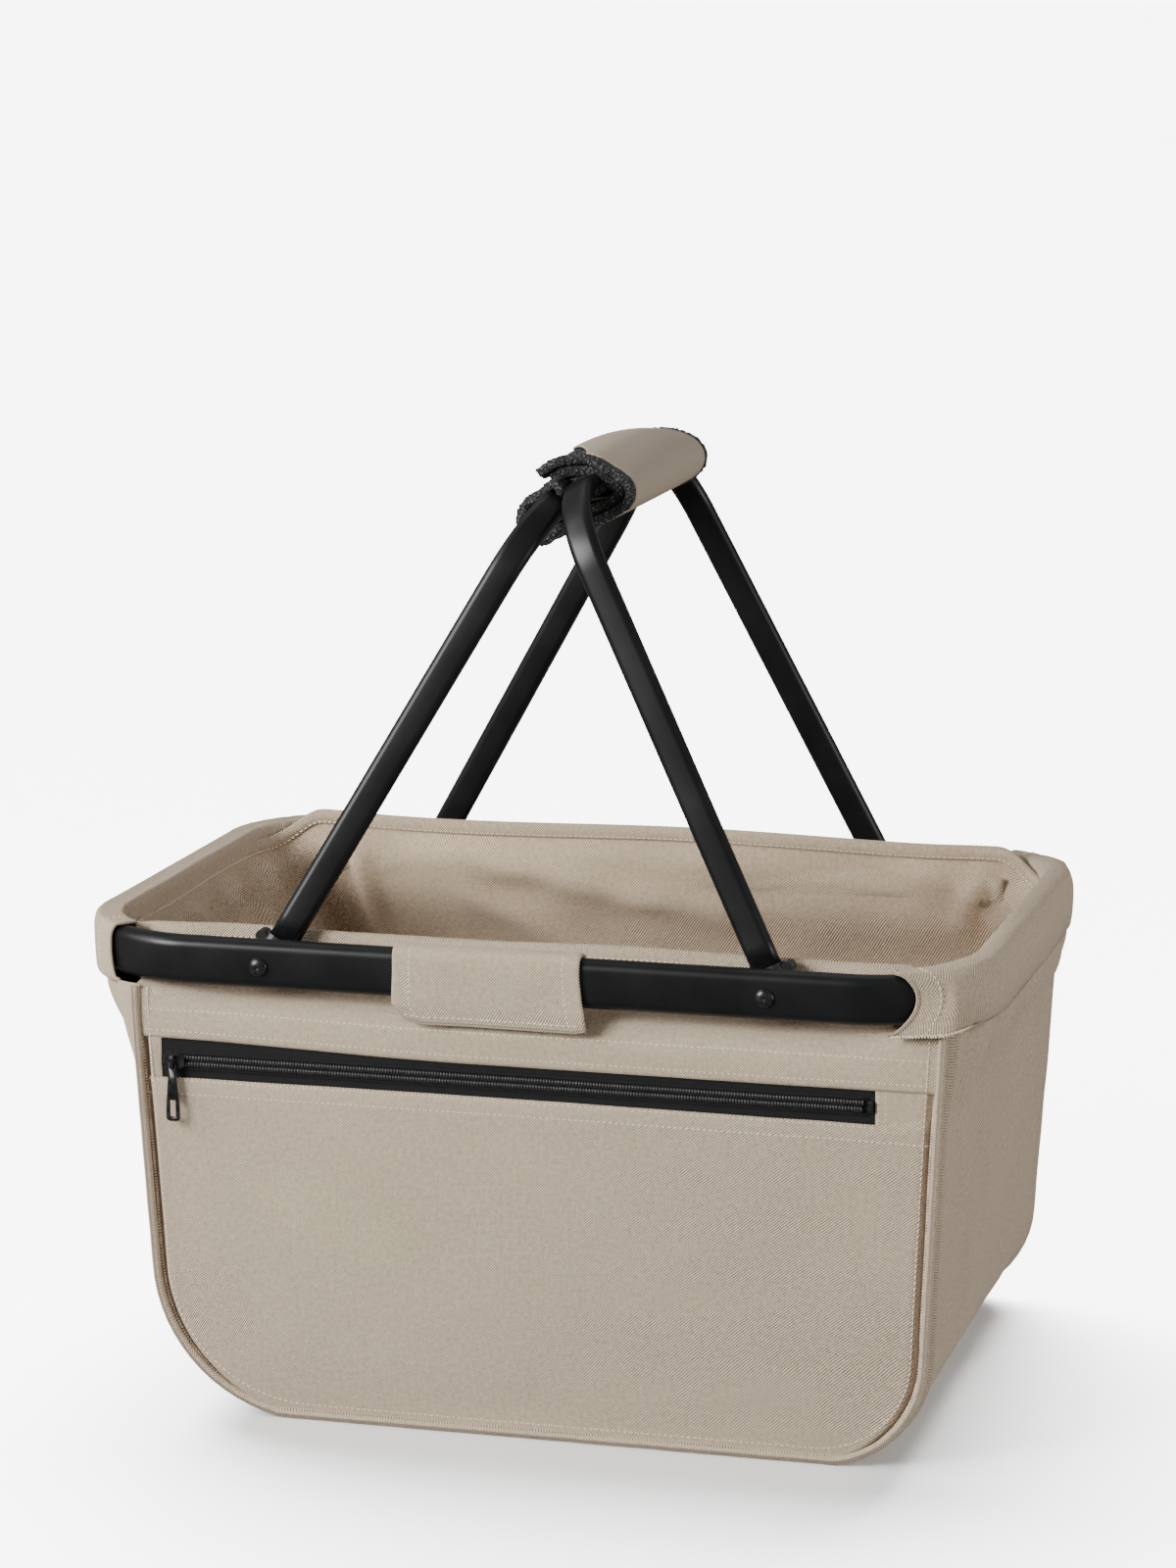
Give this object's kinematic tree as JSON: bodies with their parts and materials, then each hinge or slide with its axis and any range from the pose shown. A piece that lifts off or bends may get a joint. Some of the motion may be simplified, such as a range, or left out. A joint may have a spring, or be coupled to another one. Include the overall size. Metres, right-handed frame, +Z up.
{
  "type": "folding carry basket",
  "caption": "Open-topped cloth carry basket on a flat-oval tube rim with two swinging bails, a padded grip and a zip pocket.",
  "frame": {"origin": "on the ground under the middle of the rim loop", "axes": "+X along the long side to the right as seen from the zip side, -Y towards the zip side, +Z up"},
  "size_m": [0.474, 0.3294, 0.4881],
  "materials": {
    "black_paint": "satin black powder paint on aluminium tube",
    "black_plastic": "moulded black plastic",
    "beige_cloth": "coarse coated polyester in a basket weave",
    "beige_webbing": "smooth woven face cloth",
    "black_loop": "looped pile of a hook and loop fastener",
    "black_tape": "woven zip tape and nylon coil",
    "zip_metal": "black enamelled zinc",
    "grey_board": "stiff base board"
  },
  "bodies": {
    "basket": {"back_panel": "beige_cloth", "base_board": "grey_board", "end_sleeve_left": "beige_cloth", "end_sleeve_right": "beige_cloth", "front_lining": "beige_cloth", "gusset": "beige_cloth", "piping_back": "beige_cloth", "piping_front": "beige_cloth", "pocket_band": "beige_cloth", "pocket_panel": "beige_cloth", "rim_joiner_back": "black_plastic", "rim_joiner_front": "black_plastic", "rim_left": "black_paint", "rim_right": "black_paint", "rivet_left_back": "black_paint", "rivet_left_front": "black_paint", "rivet_right_back": "black_paint", "rivet_right_front": "black_paint", "tab_back": "beige_cloth", "tab_front": "beige_cloth", "zip_coil_lower": "black_tape", "zip_coil_upper": "black_tape", "zip_end_left": "beige_cloth", "zip_end_right": "beige_cloth", "zip_stop": "zip_metal", "zip_tape_lower": "black_tape", "zip_tape_upper": "black_tape"},
    "left_bail": {"bail_left": "black_paint", "grip_wrap_left": "black_loop", "leg_fitting_left_back": "black_plastic", "leg_fitting_left_front": "black_plastic"},
    "right_bail": {"bail_right": "black_paint", "grip_lining_right": "black_loop", "grip_shell_right": "beige_webbing", "leg_fitting_right_back": "black_plastic", "leg_fitting_right_front": "black_plastic"},
    "slider": {"zip_slider": "zip_metal"},
    "puller": {"zip_puller": "zip_metal"}
  },
  "joints": [
    {"name": "left_bail_swing", "type": "hinge", "parent": "basket", "child": "left_bail", "pos_m": [-0.13, 0, 0.2394], "axis": [0, -1, 0], "range_deg": [0, 100]},
    {"name": "right_bail_swing", "type": "hinge", "parent": "basket", "child": "right_bail", "pos_m": [0.13, 0, 0.2394], "axis": [0, 1, 0], "range_deg": [0, 96.5]},
    {"name": "zip_slide", "type": "slide", "parent": "basket", "child": "slider", "axis": [1, 0, 0], "range_m": [0, 0.351]},
    {"name": "puller_swing", "type": "hinge", "parent": "slider", "child": "puller", "pos_m": [-0.1767, -0.16231, 0.1865], "axis": [-1, 0, 0], "range_deg": [0, 150]}
  ]
}
